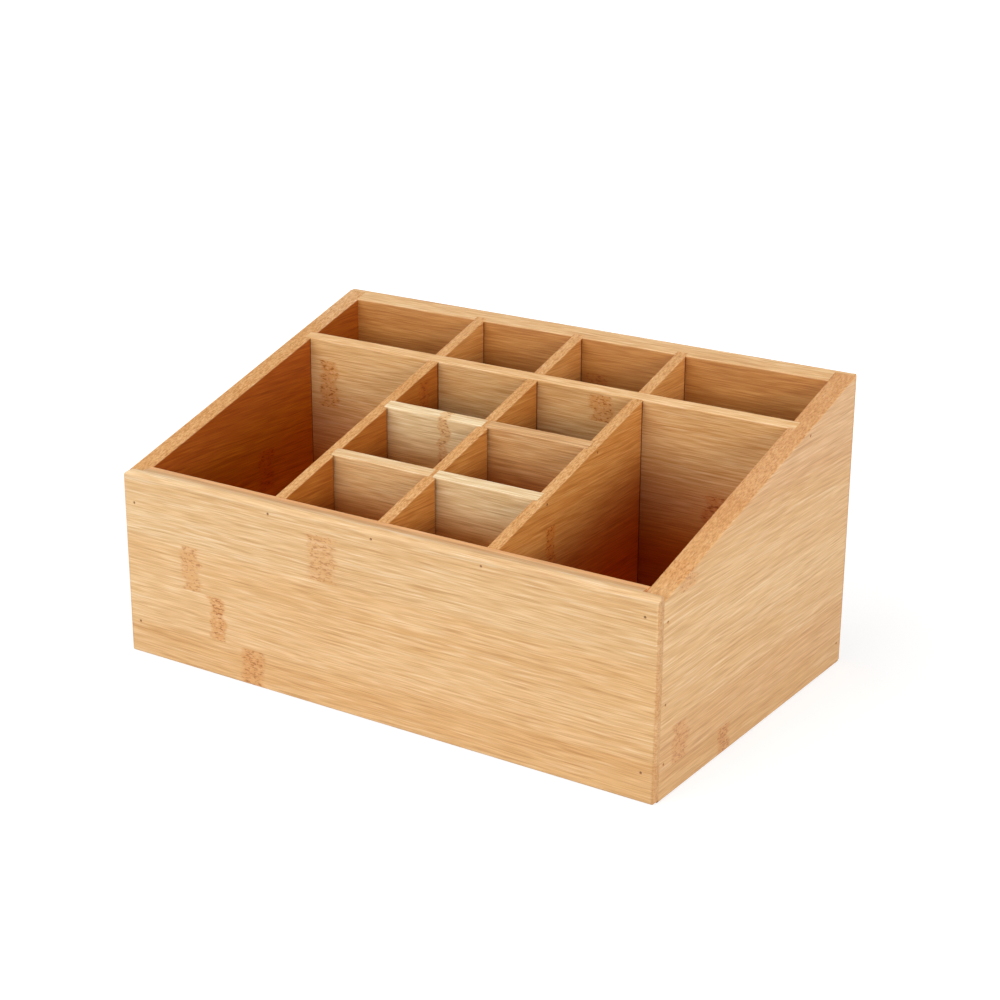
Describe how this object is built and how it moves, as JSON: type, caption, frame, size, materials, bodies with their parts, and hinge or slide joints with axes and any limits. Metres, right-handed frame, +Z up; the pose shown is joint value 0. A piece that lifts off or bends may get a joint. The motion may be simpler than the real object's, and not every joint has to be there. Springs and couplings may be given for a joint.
{
  "type": "desk organizer tray",
  "caption": "Free-standing bamboo desk organizer with a sloping top, two deep side bays, a middle grid of small cells and a back row of upright cells.",
  "frame": {"origin": "centre of the whole object's box, on the surface it stands on", "axes": "+X to the right along the width, +Y from the front to the high back, +Z up"},
  "size_m": [0.254, 0.1588, 0.1251],
  "materials": {
    "front_bamboo": "satin clear-coated bamboo, horizontal strips",
    "side_bamboo": "satin clear-coated bamboo",
    "inner_bamboo": "satin clear-coated bamboo, thin boards",
    "pale_bamboo": "satin clear-coated pale bamboo",
    "brown_bamboo": "satin clear-coated brown bamboo",
    "brad_steel": "dull uncoated wire"
  },
  "bodies": {
    "root": {"front_board": "front_bamboo", "back_board": "side_bamboo", "left_side_board": "side_bamboo", "right_side_board": "side_bamboo", "floor_panel": "inner_bamboo", "rear_divider": "inner_bamboo", "left_long_divider": "inner_bamboo", "centre_long_divider": "inner_bamboo", "right_long_divider": "inner_bamboo", "left_short_divider": "inner_bamboo", "centre_short_divider": "inner_bamboo", "right_short_divider": "inner_bamboo", "left_front_slat": "pale_bamboo", "left_rear_slat": "pale_bamboo", "right_front_slat": "pale_bamboo", "right_rear_slat": "brown_bamboo", "front_brads": "brad_steel", "back_brads": "brad_steel", "left_side_brads": "brad_steel", "right_side_brads": "brad_steel", "left_divider_brads": "brad_steel", "right_divider_brads": "brad_steel"}
  },
  "joints": []
}
